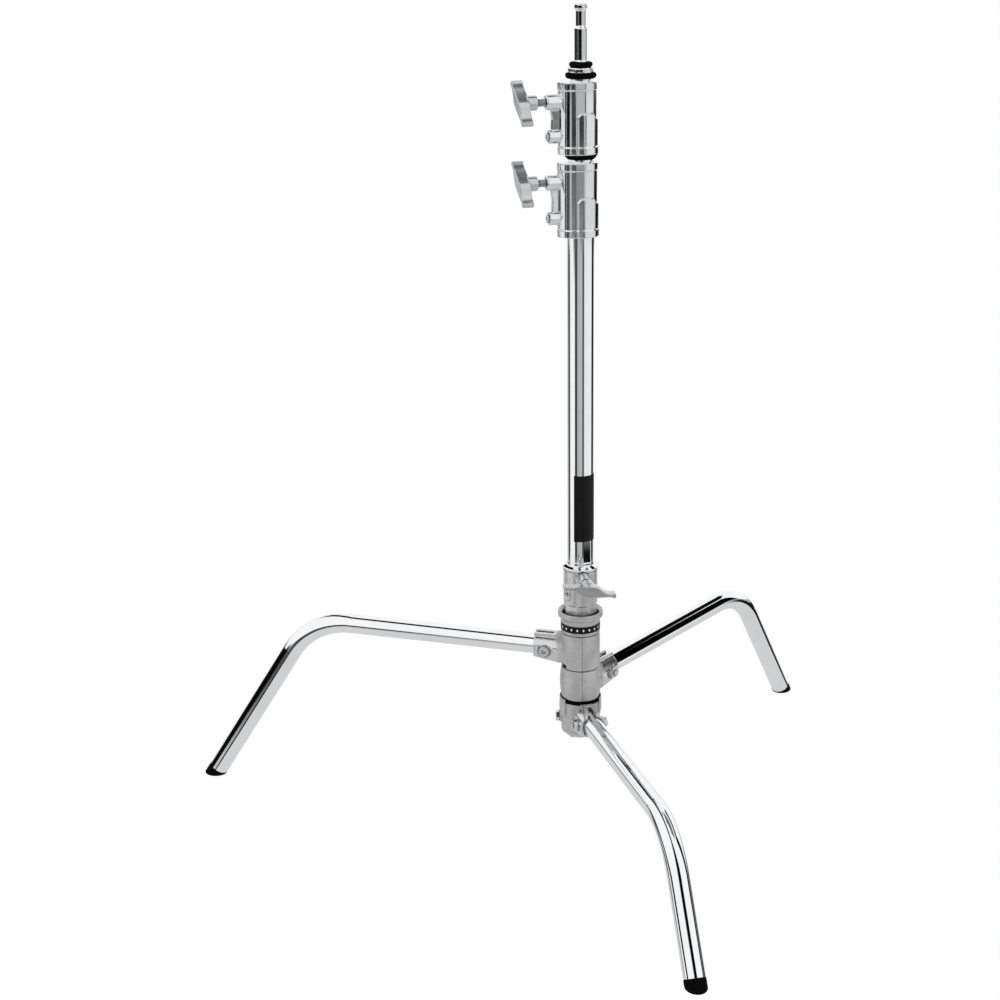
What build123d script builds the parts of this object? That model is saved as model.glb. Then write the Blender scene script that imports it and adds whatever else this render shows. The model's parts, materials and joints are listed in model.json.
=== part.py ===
from build123d import *
import os
from math import cos, radians, sin, tan

# C-stand with a three-leg turtle base, a 35 mm column and two risers, shown collapsed.
# Millimetres, +Z up. The origin is on the floor, on the axis of the column.

os.makedirs("parts", exist_ok=True)

# ---------------------------------------------------------------- driving dimensions
# Telescoping tubes: outside radius and wall
RISER_2_R = 12.5
RISER_1_R = 15.0
COLUMN_R = 17.5
TUBE_WALL = 1.5
RUNNING = 0.05            # radial running clearance

# Heights of the tubes' ends
PIN_TOP_Z = 1080.0
RISER_2_TOP_Z = 991.0
RISER_2_BOTTOM_Z = 430.0
RISER_1_TOP_Z = 942.0
RISER_1_BOTTOM_Z = 402.0
COLUMN_TOP_Z = 838.0
COLUMN_BOTTOM_Z = 364.0

# Baby pin, the 5/8 in stud on top
PIN_R = 7.94
PIN_NECK_R = 6.25
PIN_HEAD_H = 6.0
PIN_NECK_H = 23.0
PIN_SHAFT_H = 39.0
PIN_SHOULDER_R = 8.3
PIN_FLANGE_R = 16.0
PIN_FLANGE_H = 7.0
O_RING_SECTION_R = 3.15

# Riser collars: castings with a bulge towards the T-handle
COLLAR_AZIMUTH = 197.0
COLLAR_BULGE_R = 18.8     # the lower collar adds 0.9
COLLAR_BULGE_REACH = 10.2
COLLAR_BAND_H = 9.2
COLLAR_BAND_PROUD = 0.6
COLLAR_STEP_H = 6.5       # the wide lower half ends this far above the fixed tube
ARCH_AZIMUTH = -65.0      # the lower half's top is an arch seen from here
ARCH_TOP_HALF = 8.5
ARCH_SHOULDER_HALF = 13.0
ARCH_SHOULDER_DROP = 5.5
ARCH_SIDE_DROP = 9.0
BOSS_R = 9.8
BOSS_END_R = 45.5
RIB_THICKNESS = 7.0
RIB_REACH = 38.5
LOWER_BOSS_R = 8.6
LOWER_BOSS_REACH = 42.0
COLLAR_SCREW_R = 2.5

# T-handles on an M10 screw
SCREW_R = 5.0
HANDLE_LENGTH = 70.0
COLLAR_HANDLE_R = 67.5    # distance of the bar's inner face from the stand's axis
BASE_HANDLE_R = 59.5
HANDLE_DEPTH = 15.0
HANDLE_HUB_R = 9.3
HANDLE_HUB_H = 11.0
CLAMP_TRAVEL = 3.0        # two turns of a 1.5 mm pitch
COLLAR_HANDLE_LEAN = -36.0
BASE_HANDLE_LEAN = -7.0

# Column stud, the 28.6 mm junior spigot that drops into the receiver
STUD_R = 14.25
STUD_BOTTOM_Z = 278.0
STUD_FLANGE_R = 24.1
STUD_FLANGE_Z = 353.0
STUD_FLANGE_H = 4.6

# Receiver, release ring and centre post
RECEIVER_R = 22.7
RECEIVER_TOP_Z = 351.5
RECEIVER_RIDGE_Z = 303.0
RECEIVER_SKIRT_R = 22.6   # corners of the eight-sided skirt
RECEIVER_SKIRT_Z = 287.0
RECEIVER_AZIMUTH = -80.0
RECEIVER_BOSS_Z = 343.6
RECEIVER_BOSS_R = 9.2
SET_SCREW_AZIMUTH = -137.0
SET_SCREW_Z = 320.0
SET_SCREW_R = 3.0
POST_R = 19.0
POST_TOP_Z = 333.0
POST_BOTTOM_Z = 113.0
RING_BOTTOM_Z = 261.6
RING_FLOOR_Z = 268.0
RING_RIM_Z = 291.6
RING_RIM_H = 7.4
RING_RIM_R = 30.2
RING_R = 26.3
RING_POCKET_R = 23.8
LOCK_PIN_REACH = 21.6
LOCK_PIN_R = 1.5
BAND_Z = 266.2
BAND_H = 9.6

# Hubs and legs: azimuth, leg centre height at the socket, hub bottom, hub top
HUB_R = 26.0
STOP_AZIMUTH = -151.0     # window of the upper hub's swing stop
UPPER_LEG = (170.1, 238.0, 211.4, 260.8)
MIDDLE_LEG = (51.3, 192.5, 167.2, 210.6)
LOWER_LEG = (-73.6, 147.0, 117.0, 161.6)
SOCKET_MOUTH_R = 62.0
SOCKET_REF_R = 74.0
SOCKET_R = 17.0
SOCKET_START_R = 33.0
SOCKET_SIDE = 17.8        # half-width over the socket's two flat sides
SOCKET_SLOT = 7.0
SOCKET_SLOT_LENGTH = 26.0
SOCKET_RIDGE_W = 17.0
WEB_HUB_DROP = 18.5       # the web's lower edge under the leg's centre: at the hub, at the mouth
WEB_MOUTH_DROP = 11.5
SOCKET_RIDGE_TOP = 18.9   # height of the slotted ridge above the leg's centre
LEG_R = 13.45
LEG_WALL = 2.0
LEG_BEND_R = 98.0
LEG_RISE = 2.26           # degrees, upper run
LEG_DROP = 57.83          # degrees, lower run
LEG_CORNER_R = 377.8
LEG_END_GAP = 3.0         # foot rubber under the tube's lowest edge
LEG_BOLT_R = 4.0
LEG_BOLT_REACH = 46.5     # distance of the bolt from the stand's axis
LEG_BOLT_DROP = 1.5       # the bolt passes a little below the leg's centre
SPOT_FACE_R = 8.6
SPOT_FACE_DEPTH = 1.2
WASHER_T = 1.5
HEX_13 = 7.5              # corner radius of a 13 mm hexagon


def outward(azimuth):
    return Vector(cos(radians(azimuth)), sin(radians(azimuth)), 0)


def plan_plane(azimuth, z):
    """Horizontal plane at height z whose local X points out along the azimuth."""
    return Plane(origin=(0, 0, z), x_dir=outward(azimuth), z_dir=(0, 0, 1))


def side_plane(azimuth):
    """Vertical plane through the axis: local X out along the azimuth, local Y up."""
    return Plane(origin=(0, 0, 0), x_dir=outward(azimuth), z_dir=-outward(azimuth + 90))


def radial_plane(azimuth, z, distance):
    """Plane facing out along the azimuth, at a distance from the axis: local Y up."""
    return Plane(origin=outward(azimuth) * distance + Vector(0, 0, z),
                 x_dir=outward(azimuth + 90), z_dir=outward(azimuth))


def finish(part, name):
    part.label = name
    export_step(part, f"parts/{name}.step")


def ring(inner_r, outer_r, low_z, high_z):
    """Plain round ring or tube about the stand's axis."""
    with BuildPart() as body:
        with BuildSketch(Plane.XY.offset(low_z)):
            Circle(outer_r)
            Circle(inner_r, mode=Mode.SUBTRACT)
        extrude(amount=high_z - low_z)
    return body.part


# ---------------------------------------------------------------- top pin
pin_neck_z = PIN_TOP_Z - PIN_HEAD_H - PIN_NECK_H
pin_shoulder_z = pin_neck_z - PIN_SHAFT_H
pin_flange_top_z = pin_shoulder_z - 7.5
pin_flange_low_z = pin_flange_top_z - PIN_FLANGE_H
pin_spigot_r = RISER_2_R - TUBE_WALL

with BuildPart() as baby_pin:
    with BuildSketch(Plane.XZ):
        with BuildLine():
            Polyline(
                (0, PIN_TOP_Z),
                (PIN_R - 1, PIN_TOP_Z),
                (PIN_R, PIN_TOP_Z - 1),
                (PIN_R, PIN_TOP_Z - PIN_HEAD_H),
                (PIN_NECK_R, PIN_TOP_Z - PIN_HEAD_H - 2),
                (PIN_NECK_R, pin_neck_z + 2),
                (PIN_R, pin_neck_z),
                (PIN_R, pin_shoulder_z),
                (PIN_SHOULDER_R, pin_shoulder_z),
                (PIN_SHOULDER_R, pin_flange_top_z),
                (PIN_FLANGE_R - 1, pin_flange_top_z),
                (PIN_FLANGE_R, pin_flange_top_z - 1),
                (PIN_FLANGE_R, pin_flange_low_z + 1),
                (PIN_FLANGE_R - 1, pin_flange_low_z),
                (pin_spigot_r, pin_flange_low_z),
                (pin_spigot_r, RISER_2_TOP_Z - 36),
                (pin_spigot_r - 1, RISER_2_TOP_Z - 37),
                (0, RISER_2_TOP_Z - 37),
                close=True,
            )
        make_face()
    revolve(axis=Axis.Z)
finish(baby_pin.part, "baby_pin")

with BuildPart() as pin_o_ring:
    with BuildSketch(Plane.XZ):
        with Locations((PIN_SHOULDER_R + O_RING_SECTION_R, pin_flange_top_z + O_RING_SECTION_R)):
            Circle(O_RING_SECTION_R)
    revolve(axis=Axis.Z)
finish(pin_o_ring.part, "pin_o_ring")

with BuildPart() as riser_2_bumper:
    with BuildSketch(Plane.XZ):
        with BuildLine():
            Polyline(
                (pin_spigot_r, RISER_2_TOP_Z),
                (17.0, RISER_2_TOP_Z),
                (19.3, RISER_2_TOP_Z + 2.3),
                (19.3, pin_flange_low_z - 1.2),
                (18.1, pin_flange_low_z),
                (pin_spigot_r, pin_flange_low_z),
                close=True,
            )
        make_face()
    revolve(axis=Axis.Z)
finish(riser_2_bumper.part, "riser_2_bumper")

# ---------------------------------------------------------------- risers and their bushes
finish(ring(RISER_2_R - TUBE_WALL, RISER_2_R, RISER_2_BOTTOM_Z, RISER_2_TOP_Z), "riser_2_tube")


def guide_bush(tube_r, bore_r, tube_bottom_z, spigot_h, flange_h):
    """Nylon bush: a flange running in the outer tube, under a spigot inside the riser's end."""
    with BuildPart() as bush:
        with BuildSketch(Plane.XY.offset(tube_bottom_z - flange_h)):
            Circle(bore_r - RUNNING)
        extrude(amount=flange_h)
        with BuildSketch(Plane.XY.offset(tube_bottom_z)):
            Circle(tube_r - TUBE_WALL - RUNNING)
        extrude(amount=spigot_h)
        with BuildSketch(Plane.XY.offset(tube_bottom_z - flange_h)):
            Circle(tube_r - TUBE_WALL - 3)
        extrude(amount=flange_h + spigot_h, mode=Mode.SUBTRACT)
    return bush.part


finish(guide_bush(RISER_2_R, RISER_1_R - TUBE_WALL, RISER_2_BOTTOM_Z, 20, 14), "riser_2_bush")
finish(guide_bush(RISER_1_R, COLUMN_R - TUBE_WALL, RISER_1_BOTTOM_Z, 9, 8), "riser_1_bush")


# ---------------------------------------------------------------- collars
def bulged_outline(body_r, bulge_r, extra=0.0):
    """Plan of a collar in the open sketch: round body drawn out to a bulge on local +X."""
    Circle(body_r + extra)
    with Locations((COLLAR_BULGE_REACH, 0)):
        Circle(bulge_r + extra)
    make_hull()


def collar(low_z, high_z, slim_r, wide_r, bulge_r, fixed_r, fixed_top_z, sliding_r, boss_z, screw_z, shoe):
    """Riser collar: slim drawn-out body, with a wider round lower half on the fixed tube."""
    arch_z = fixed_top_z + 1 + COLLAR_STEP_H
    side = wide_r + 1
    with BuildPart() as lower_half:
        with BuildSketch(Plane.XY.offset(low_z)):
            Circle(wide_r)
        extrude(amount=arch_z - low_z)
        with BuildSketch(side_plane(ARCH_AZIMUTH + 90)):
            with BuildLine():
                Polyline(
                    (-side, low_z),
                    (-side, arch_z - ARCH_SIDE_DROP),
                    (-ARCH_SHOULDER_HALF, arch_z - ARCH_SHOULDER_DROP),
                    (-ARCH_TOP_HALF, arch_z),
                    (ARCH_TOP_HALF, arch_z),
                    (ARCH_SHOULDER_HALF, arch_z - ARCH_SHOULDER_DROP),
                    (side, arch_z - ARCH_SIDE_DROP),
                    (side, low_z),
                    close=True,
                )
            make_face()
        extrude(amount=side, both=True, mode=Mode.INTERSECT)
    with BuildPart() as body:
        with BuildSketch(plan_plane(COLLAR_AZIMUTH, low_z)):
            bulged_outline(slim_r, bulge_r)
        extrude(amount=high_z - low_z)
        add(lower_half.part)
        # proud bands at both ends
        with BuildSketch(plan_plane(COLLAR_AZIMUTH, low_z)):
            bulged_outline(slim_r, bulge_r, COLLAR_BAND_PROUD)
            Circle(wide_r + COLLAR_BAND_PROUD)
        extrude(amount=COLLAR_BAND_H)
        with BuildSketch(plan_plane(COLLAR_AZIMUTH, high_z - COLLAR_BAND_H)):
            bulged_outline(slim_r, bulge_r, COLLAR_BAND_PROUD)
        extrude(amount=COLLAR_BAND_H)
        # screw boss, rib and lower boss on the bulge
        for z, radius, end_r in ((boss_z, BOSS_R, BOSS_END_R), (screw_z, LOWER_BOSS_R, LOWER_BOSS_REACH)):
            with BuildSketch(radial_plane(COLLAR_AZIMUTH, z, slim_r)):
                Circle(radius)
            extrude(amount=end_r - slim_r)
        with BuildSketch(side_plane(COLLAR_AZIMUTH)):
            with BuildLine():
                Polyline(
                    (slim_r, screw_z),
                    (RIB_REACH, screw_z),
                    (RIB_REACH - 1, (screw_z + boss_z) / 2),
                    (RIB_REACH + 2, boss_z - 2),
                    (slim_r, boss_z - 2),
                    close=True,
                )
            make_face()
        extrude(amount=RIB_THICKNESS / 2, both=True)
        # bores for the fixed tube and for the sliding riser
        with BuildSketch(Plane.XY.offset(low_z)):
            Circle(fixed_r)
        extrude(amount=fixed_top_z - low_z, mode=Mode.SUBTRACT)
        with BuildSketch(Plane.XY.offset(fixed_top_z)):
            Circle(sliding_r + RUNNING)
        extrude(amount=high_z - fixed_top_z, mode=Mode.SUBTRACT)
        # pocket for the brake shoe, hole for the clamp screw, hole for the fixing screw
        with BuildSketch(radial_plane(COLLAR_AZIMUTH, boss_z, sliding_r - 3)):
            RectangleRounded(shoe["width"] + 0.4, shoe["height"] + 0.4, 3)
        extrude(amount=shoe["back_r"] + CLAMP_TRAVEL + 0.8 - sliding_r + 3, mode=Mode.SUBTRACT)
        with BuildSketch(radial_plane(COLLAR_AZIMUTH, boss_z, sliding_r)):
            Circle(SCREW_R + RUNNING)
        extrude(amount=BOSS_END_R, mode=Mode.SUBTRACT)
        with BuildSketch(radial_plane(COLLAR_AZIMUTH, screw_z, fixed_r - 3)):
            Circle(COLLAR_SCREW_R)
        extrude(amount=LOWER_BOSS_REACH, mode=Mode.SUBTRACT)
        # soften the boss's free edge
        rims = body.edges().filter_by(GeomType.CIRCLE).filter_by(
            lambda e: abs(e.radius - BOSS_R) < 0.01 and e.length > 6 * BOSS_R
        )
        chamfer(rims, 1.2)
    return body.part


def brake_shoe(shoe, sliding_r, boss_z):
    """Brass shoe with a hollow face that grips the riser, pushed by the clamp screw."""
    with BuildPart() as body:
        with BuildSketch(radial_plane(COLLAR_AZIMUTH, boss_z, sliding_r - 2)):
            RectangleRounded(shoe["width"], shoe["height"], 3)
        extrude(amount=shoe["back_r"] - sliding_r + 2)
        with BuildSketch(Plane.XY.offset(boss_z - shoe["height"])):
            Circle(sliding_r + RUNNING)
        extrude(amount=2 * shoe["height"], mode=Mode.SUBTRACT)
    return body.part


def clamp_screw(azimuth, z, tip_r, handle_r):
    """M10 screw from the shoe's back into the T-handle."""
    with BuildPart() as body:
        with BuildSketch(radial_plane(azimuth, z, tip_r)):
            Circle(SCREW_R)
        extrude(amount=handle_r + 8 - tip_r)
        chamfer(body.edges().group_by(SortBy.LENGTH)[0], 0.6)
    return body.part


def collar_screw(z, tip_r):
    """Cross-head screw that pins the collar to the tube below it."""
    head_r = 5.4
    with BuildPart() as body:
        with BuildSketch(radial_plane(COLLAR_AZIMUTH, z, tip_r)):
            Circle(COLLAR_SCREW_R)
        extrude(amount=LOWER_BOSS_REACH - tip_r)
        with BuildSketch(radial_plane(COLLAR_AZIMUTH, z, LOWER_BOSS_REACH)):
            Circle(head_r)
        extrude(amount=2.6)
        outer_rim = body.faces().sort_by(lambda f: f.center().dot(outward(COLLAR_AZIMUTH)))[-1].edges()
        fillet(outer_rim, 1.2)
        with BuildSketch(radial_plane(COLLAR_AZIMUTH, z, LOWER_BOSS_REACH + 1.2)):
            Rectangle(5.2, 1.1)
            Rectangle(1.1, 5.2)
        extrude(amount=3, mode=Mode.SUBTRACT)
    return body.part


def t_handle(azimuth, z, lean, inner_r):
    """Propeller-shaped cast bar with a short round hub, turned by lean about the screw."""
    half = HANDLE_LENGTH / 2
    along_bar = outward(azimuth + 90) * cos(radians(lean)) + Vector(0, 0, sin(radians(lean)))
    face = Plane(origin=outward(azimuth) * inner_r + Vector(0, 0, z),
                 x_dir=along_bar, z_dir=outward(azimuth))
    top_edge = [
        (-half, 7.0),
        (-0.78 * half, 5.2),
        (-0.50 * half, 6.2),
        (0, 8.0),
        (0.28 * half, 7.2),
        (0.54 * half, 1.8),
        (0.78 * half, -0.6),
        (half, 0.6),
    ]
    low_edge = [(-u, -w) for u, w in top_edge]
    with BuildPart() as body:
        with BuildSketch(face):
            with BuildLine():
                Spline(*top_edge)
                Line(top_edge[-1], low_edge[0])
                Spline(*low_edge)
                Line(low_edge[-1], top_edge[0])
            make_face()
        extrude(amount=HANDLE_DEPTH)
        fillet(body.edges(), 1.3)
        with BuildSketch(radial_plane(azimuth, z, inner_r + 2)):
            Circle(HANDLE_HUB_R)
        extrude(amount=-HANDLE_HUB_H - 2)
        hub_rim = body.faces().sort_by(lambda f: f.center().dot(outward(azimuth)))[0].edges()
        chamfer(hub_rim, 1.0)
        with BuildSketch(radial_plane(azimuth, z, inner_r - HANDLE_HUB_H)):
            Circle(SCREW_R + 0.01)
        extrude(amount=HANDLE_HUB_H + 8, mode=Mode.SUBTRACT)
    return body.part


upper_shoe = {"width": 13.0, "height": 27.0, "back_r": 19.5}
lower_shoe = {"width": 14.0, "height": 28.0, "back_r": 21.0}
upper_boss_z = 963.5
lower_boss_z = 865.0
upper_screw_z = 921.5
lower_screw_z = 820.5
upper_collar_low_z = 899.5
lower_collar_high_z = 889.5

finish(collar(upper_collar_low_z, 987.5, 19.5, 21.3, COLLAR_BULGE_R, RISER_1_R, RISER_1_TOP_Z, RISER_2_R,
              upper_boss_z, upper_screw_z, upper_shoe), "upper_collar")
finish(brake_shoe(upper_shoe, RISER_2_R, upper_boss_z), "upper_brake_shoe")
finish(clamp_screw(COLLAR_AZIMUTH, upper_boss_z, upper_shoe["back_r"], COLLAR_HANDLE_R), "upper_clamp_screw")
finish(t_handle(COLLAR_AZIMUTH, upper_boss_z, COLLAR_HANDLE_LEAN, COLLAR_HANDLE_R), "upper_knob")
finish(collar_screw(upper_screw_z, RISER_1_R - TUBE_WALL), "upper_collar_screw")

finish(collar(797.0, lower_collar_high_z, 20.6, 22.5, COLLAR_BULGE_R + 0.9, COLUMN_R, COLUMN_TOP_Z, RISER_1_R,
              lower_boss_z, lower_screw_z, lower_shoe), "lower_collar")
finish(brake_shoe(lower_shoe, RISER_1_R, lower_boss_z), "lower_brake_shoe")
finish(clamp_screw(COLLAR_AZIMUTH, lower_boss_z, lower_shoe["back_r"], COLLAR_HANDLE_R), "lower_clamp_screw")
finish(t_handle(COLLAR_AZIMUTH, lower_boss_z, COLLAR_HANDLE_LEAN, COLLAR_HANDLE_R), "lower_knob")
finish(collar_screw(lower_screw_z, COLUMN_R - TUBE_WALL), "lower_collar_screw")

with BuildPart() as upper_collar_bumper:
    with BuildSketch(Plane.XZ):
        with BuildLine():
            Polyline(
                (RISER_1_R, upper_collar_low_z),
                (21.2, upper_collar_low_z),
                (21.2, upper_collar_low_z - 1.5),
                (17.2, upper_collar_low_z - 6.5),
                (RISER_1_R, upper_collar_low_z - 6.5),
                close=True,
            )
        make_face()
    revolve(axis=Axis.Z)
finish(upper_collar_bumper.part, "upper_collar_bumper")


# ---------------------------------------------------------------- pinned tubes, label, stud
def pinned_tube(outer_r, low_z, high_z, pin_z):
    """Tube with a hole where its collar's fixing screw passes through the wall."""
    with BuildPart() as body:
        with BuildSketch(Plane.XY.offset(low_z)):
            Circle(outer_r)
            Circle(outer_r - TUBE_WALL, mode=Mode.SUBTRACT)
        extrude(amount=high_z - low_z)
        with BuildSketch(radial_plane(COLLAR_AZIMUTH, pin_z, outer_r - 4)):
            Circle(COLLAR_SCREW_R)
        extrude(amount=8, mode=Mode.SUBTRACT)
    return body.part


finish(pinned_tube(RISER_1_R, RISER_1_BOTTOM_Z, RISER_1_TOP_Z, upper_screw_z), "riser_1_tube")
finish(pinned_tube(COLUMN_R, COLUMN_BOTTOM_Z, COLUMN_TOP_Z, lower_screw_z), "column_tube")

LABEL_START = -119.0
LABEL_SWEEP = 130.0
LABEL_MIDDLE_Z = 438.8
LABEL_LENGTH = 91.0
LABEL_THICKNESS = 0.25
with BuildPart() as column_label:
    with BuildSketch(side_plane(LABEL_START)):
        with Locations((COLUMN_R + LABEL_THICKNESS / 2, LABEL_MIDDLE_Z)):
            Rectangle(LABEL_THICKNESS, LABEL_LENGTH)
    revolve(axis=Axis.Z, revolution_arc=LABEL_SWEEP)
finish(column_label.part, "column_label")

stud_collar_r = COLUMN_R + 0.4
stud_spigot_top_z = COLUMN_BOTTOM_Z + 26
flange_top_z = STUD_FLANGE_Z + STUD_FLANGE_H
with BuildPart() as column_stud:
    with BuildSketch(Plane.XZ):
        with BuildLine():
            Polyline(
                (0, STUD_BOTTOM_Z),
                (STUD_R - 1.5, STUD_BOTTOM_Z),
                (STUD_R, STUD_BOTTOM_Z + 1.5),
                (STUD_R, STUD_FLANGE_Z),
                (STUD_FLANGE_R - 0.8, STUD_FLANGE_Z),
                (STUD_FLANGE_R, STUD_FLANGE_Z + 0.8),
                (STUD_FLANGE_R, flange_top_z - 2.6),
                (STUD_FLANGE_R - 0.6, flange_top_z - 2.0),
                (stud_collar_r + 1.2, flange_top_z),
                (stud_collar_r, flange_top_z + 1.2),
                (stud_collar_r, COLUMN_BOTTOM_Z - 0.6),
                (COLUMN_R - 0.2, COLUMN_BOTTOM_Z),
                (COLUMN_R - TUBE_WALL, COLUMN_BOTTOM_Z),
                (COLUMN_R - TUBE_WALL, stud_spigot_top_z),
                (0, stud_spigot_top_z),
                close=True,
            )
        make_face()
    revolve(axis=Axis.Z)
finish(column_stud.part, "column_stud")

finish(ring(STUD_R + RUNNING, STUD_FLANGE_R - 0.6, RECEIVER_TOP_Z, STUD_FLANGE_Z), "column_washer")

# ---------------------------------------------------------------- receiver
receiver_bore_r = STUD_R + RUNNING
pad_r = 6.0
pad_back_r = 20.0
pad_seat_r = pad_back_r + CLAMP_TRAVEL + 0.5
with BuildPart() as base_receiver:
    with BuildSketch(Plane.XZ):
        with BuildLine():
            Polyline(
                (receiver_bore_r, RECEIVER_TOP_Z),
                (RECEIVER_R - 1.2, RECEIVER_TOP_Z),
                (RECEIVER_R, RECEIVER_TOP_Z - 1.2),
                (RECEIVER_R, RECEIVER_RIDGE_Z + 1),
                (RECEIVER_R - 1, RECEIVER_RIDGE_Z),
                (POST_R, RECEIVER_RIDGE_Z),
                (POST_R, POST_TOP_Z),
                (receiver_bore_r, POST_TOP_Z),
                close=True,
            )
        make_face()
    revolve(axis=Axis.Z)
    with BuildSketch(plan_plane(RECEIVER_AZIMUTH, RECEIVER_SKIRT_Z)):
        RegularPolygon(RECEIVER_SKIRT_R, 8, rotation=22.5)
    extrude(amount=RECEIVER_RIDGE_Z - RECEIVER_SKIRT_Z)
    # screw boss over the fixed leg, and an oval pad for the set screw
    with BuildSketch(radial_plane(RECEIVER_AZIMUTH, RECEIVER_BOSS_Z, RECEIVER_R - 2)):
        Circle(RECEIVER_BOSS_R)
    extrude(amount=BOSS_END_R - RECEIVER_R + 2)
    with BuildSketch(Plane.XY.offset(RECEIVER_TOP_Z)):
        Circle(STUD_FLANGE_R + 0.5)
    extrude(amount=STUD_FLANGE_H, mode=Mode.SUBTRACT)
    with BuildSketch(radial_plane(SET_SCREW_AZIMUTH, SET_SCREW_Z, RECEIVER_R - 2)):
        SlotOverall(19, 10, rotation=90)
    extrude(amount=4.2)
    with BuildSketch(Plane.XY.offset(RECEIVER_SKIRT_Z)):
        Circle(POST_R)
    extrude(amount=POST_TOP_Z - RECEIVER_SKIRT_Z, mode=Mode.SUBTRACT)
    with BuildSketch(Plane.XY.offset(POST_TOP_Z)):
        Circle(receiver_bore_r)
    extrude(amount=RECEIVER_TOP_Z - POST_TOP_Z, mode=Mode.SUBTRACT)
    with BuildSketch(radial_plane(RECEIVER_AZIMUTH, RECEIVER_BOSS_Z, STUD_R - 3)):
        Circle(pad_r + RUNNING)
    extrude(amount=pad_seat_r - STUD_R + 3, mode=Mode.SUBTRACT)
    with BuildSketch(radial_plane(RECEIVER_AZIMUTH, RECEIVER_BOSS_Z, STUD_R)):
        Circle(SCREW_R + RUNNING)
    extrude(amount=BOSS_END_R, mode=Mode.SUBTRACT)
    with BuildSketch(radial_plane(SET_SCREW_AZIMUTH, SET_SCREW_Z, STUD_R)):
        Circle(SET_SCREW_R)
    extrude(amount=BOSS_END_R, mode=Mode.SUBTRACT)
finish(base_receiver.part, "base_receiver")

with BuildPart() as base_brake_shoe:
    with BuildSketch(radial_plane(RECEIVER_AZIMUTH, RECEIVER_BOSS_Z, STUD_R - 2)):
        Circle(pad_r)
    extrude(amount=pad_back_r - STUD_R + 2)
    with BuildSketch(Plane.XY.offset(RECEIVER_BOSS_Z - 10)):
        Circle(STUD_R + RUNNING)
    extrude(amount=20, mode=Mode.SUBTRACT)
finish(base_brake_shoe.part, "base_brake_shoe")

finish(clamp_screw(RECEIVER_AZIMUTH, RECEIVER_BOSS_Z, pad_back_r, BASE_HANDLE_R), "base_clamp_screw")
finish(t_handle(RECEIVER_AZIMUTH, RECEIVER_BOSS_Z, BASE_HANDLE_LEAN, BASE_HANDLE_R), "base_knob")

set_screw_end_r = RECEIVER_R + 1.0
with BuildPart() as receiver_set_screw:
    with BuildSketch(radial_plane(SET_SCREW_AZIMUTH, SET_SCREW_Z, POST_R)):
        Circle(SET_SCREW_R)
    extrude(amount=set_screw_end_r - POST_R)
    with BuildSketch(radial_plane(SET_SCREW_AZIMUTH, SET_SCREW_Z, set_screw_end_r - 2)):
        RegularPolygon(1.7, 6)
    extrude(amount=2, mode=Mode.SUBTRACT)
finish(receiver_set_screw.part, "receiver_set_screw")

# ---------------------------------------------------------------- release ring and post
band_floor_r = RING_R - 0.6
band_top_z = BAND_Z + BAND_H
rim_low_z = RING_RIM_Z - RING_RIM_H
rim_crest_z = RING_RIM_Z + 0.6
with BuildPart() as release_ring:
    with BuildSketch(Plane.XZ):
        with BuildLine():
            Polyline(
                (POST_R + RUNNING, RING_BOTTOM_Z),
                (band_floor_r, RING_BOTTOM_Z),
                (RING_R, RING_BOTTOM_Z + 0.6),
                (RING_R, BAND_Z),
                (band_floor_r, BAND_Z),
                (band_floor_r, band_top_z),
                (RING_R, band_top_z),
            )
            Spline(
                (RING_R, band_top_z),
                (RING_R + 0.9, rim_low_z - 2.6),
                (RING_RIM_R - 0.6, rim_low_z),
                tangents=((0, 1), (1, 0.5)),
            )
            Polyline(
                (RING_RIM_R - 0.6, rim_low_z),
                (RING_RIM_R, rim_low_z + 1),
                (RING_RIM_R, RING_RIM_Z - 0.8),
            )
            ThreePointArc(
                (RING_RIM_R, RING_RIM_Z - 0.8),
                (RING_RIM_R - 0.7, RING_RIM_Z + 0.3),
                (RING_RIM_R - 2, rim_crest_z),
            )
            Polyline(
                (RING_RIM_R - 2, rim_crest_z),
                (RING_POCKET_R, RING_RIM_Z - 3),
                (RING_POCKET_R, RING_FLOOR_Z),
                (POST_R + RUNNING, RING_FLOOR_Z),
                (POST_R + RUNNING, RING_BOTTOM_Z),
            )
        make_face()
    revolve(axis=Axis.Z)
    with BuildSketch(Plane.XY.offset(RING_BOTTOM_Z)):
        with PolarLocations(LOCK_PIN_REACH, 2):
            Circle(LOCK_PIN_R)
    extrude(amount=RING_FLOOR_Z - RING_BOTTOM_Z, mode=Mode.SUBTRACT)
finish(release_ring.part, "release_ring")

with BuildPart() as release_lock_pins:
    with BuildSketch(Plane.XY.offset(RING_BOTTOM_Z + 0.2)):
        with PolarLocations(LOCK_PIN_REACH, 2):
            Circle(LOCK_PIN_R)
    extrude(amount=RING_FLOOR_Z - RING_BOTTOM_Z - 0.2)
finish(release_lock_pins.part, "release_lock_pins")

finish(ring(band_floor_r, RING_R + 0.25, BAND_Z, band_top_z), "marker_band")

spring_wire_r = 0.8
spring_coil_r = 21.4
spring_h = RECEIVER_SKIRT_Z - RING_FLOOR_Z - 2 * spring_wire_r - 0.2
with BuildPart() as release_spring:
    with BuildLine(Plane.XY.offset(RING_FLOOR_Z + spring_wire_r + 0.1)) as coil:
        Helix(pitch=spring_h / 4, height=spring_h, radius=spring_coil_r)
    with BuildSketch(Plane(origin=coil.line @ 0, z_dir=coil.line % 0)):
        Circle(spring_wire_r)
    sweep(path=coil.line, is_frenet=True)
finish(release_spring.part, "release_spring")

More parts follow.
